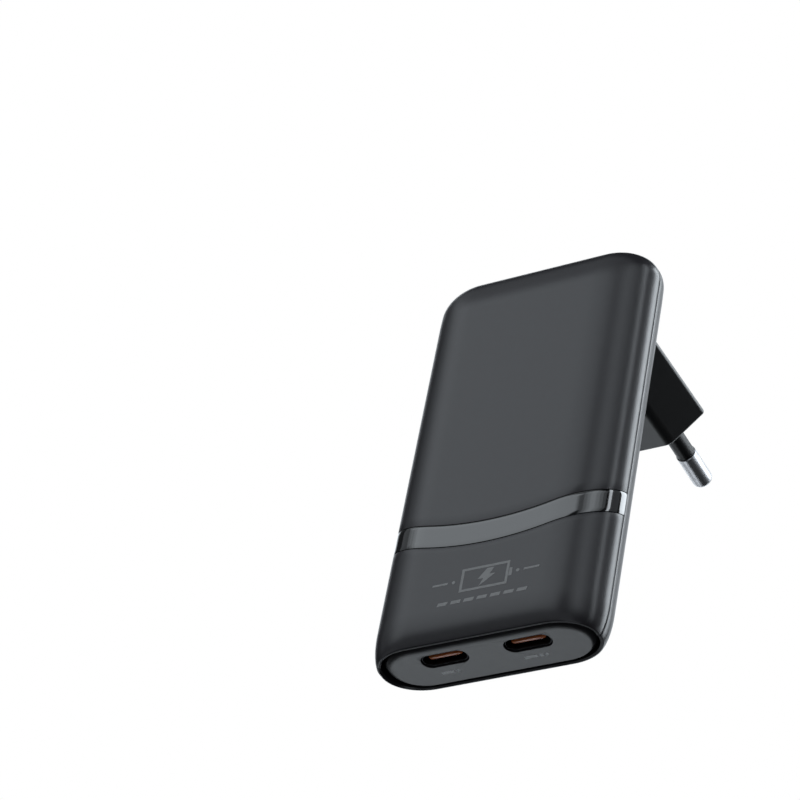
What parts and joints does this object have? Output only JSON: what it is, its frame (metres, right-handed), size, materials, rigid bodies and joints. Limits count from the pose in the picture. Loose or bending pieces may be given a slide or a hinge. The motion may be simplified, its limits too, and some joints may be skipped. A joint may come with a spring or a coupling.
{
  "type": "usb wall charger",
  "caption": "Slim upright wall charger with a soft rectangular body, a gloss wave stripe, USB-C sockets in one end, and a slide-off two-pin plug head on its back.",
  "frame": {"origin": "centre of the plug's engagement face, midway between the two pins", "axes": "+Y out of the engagement face along the plug's axis, into the socket; +Z along the body's long side, away from the USB ports; X across the body, from pin to pin"},
  "size_m": [0.045, 0.0574, 0.0865],
  "materials": {
    "shell_matte": "matte charcoal",
    "rear_matte": "matte charcoal, fine texture",
    "stripe_gloss": "gloss grey",
    "panel_matte": "matte charcoal",
    "plug_matte": "matte black, fine texture",
    "sleeve_black": "satin black",
    "pin_metal": "polished nickel",
    "socket_steel": "satin, stamped",
    "tongue_orange": "satin orange",
    "contact_gold": "gold plated",
    "board_green": "solder mask",
    "sheet_white": "thin film",
    "spreader_metal": "satin",
    "ferrite": "dull sintered",
    "tape_yellow": "polyester tape",
    "can_dark": "sleeved can",
    "can_silver": "bare can",
    "box_yellow": "moulded box",
    "core_green": "coated ring",
    "enamel_copper": "enamelled wire",
    "chip_black": "moulded package",
    "fuse_beige": "ceramic body",
    "contact_copper": "sprung bronze",
    "carrier_grey": "moulded"
  },
  "bodies": {
    "plug_head": {"plug_housing": "plug_matte", "plug_base_plate": "plug_matte", "pin_carrier": "carrier_grey", "pin_left": "pin_metal", "pin_right": "pin_metal", "pin_sleeve_left": "sleeve_black", "pin_sleeve_right": "sleeve_black", "terminal_left": "contact_copper", "terminal_right": "contact_copper"},
    "charger_body": {"front_shell": "shell_matte", "rear_shell": "rear_matte", "wave_stripe": "stripe_gloss", "port_panel": "panel_matte", "usb_c_left_shell": "socket_steel", "usb_c_right_shell": "socket_steel", "usb_c_left_tongue": "tongue_orange", "usb_c_right_tongue": "tongue_orange", "usb_c_left_contacts": "contact_gold", "usb_c_right_contacts": "contact_gold", "main_board": "board_green", "insulation_sheet": "sheet_white", "heat_spreader": "spreader_metal", "transformer_core": "ferrite", "transformer_winding": "tape_yellow", "bulk_capacitors": "can_dark", "output_capacitors": "can_silver", "film_capacitor": "box_yellow", "choke_core": "core_green", "choke_winding": "enamel_copper", "bridge_rectifier": "chip_black", "fuse": "fuse_beige", "control_chips": "chip_black", "power_switch": "chip_black", "input_contact_left": "contact_copper", "input_contact_right": "contact_copper"}
  },
  "joints": [
    {"name": "plug_head_slide", "type": "slide", "parent": "plug_head", "child": "charger_body", "axis": [0, 0, 1], "range_m": [0, 0.0075]}
  ]
}
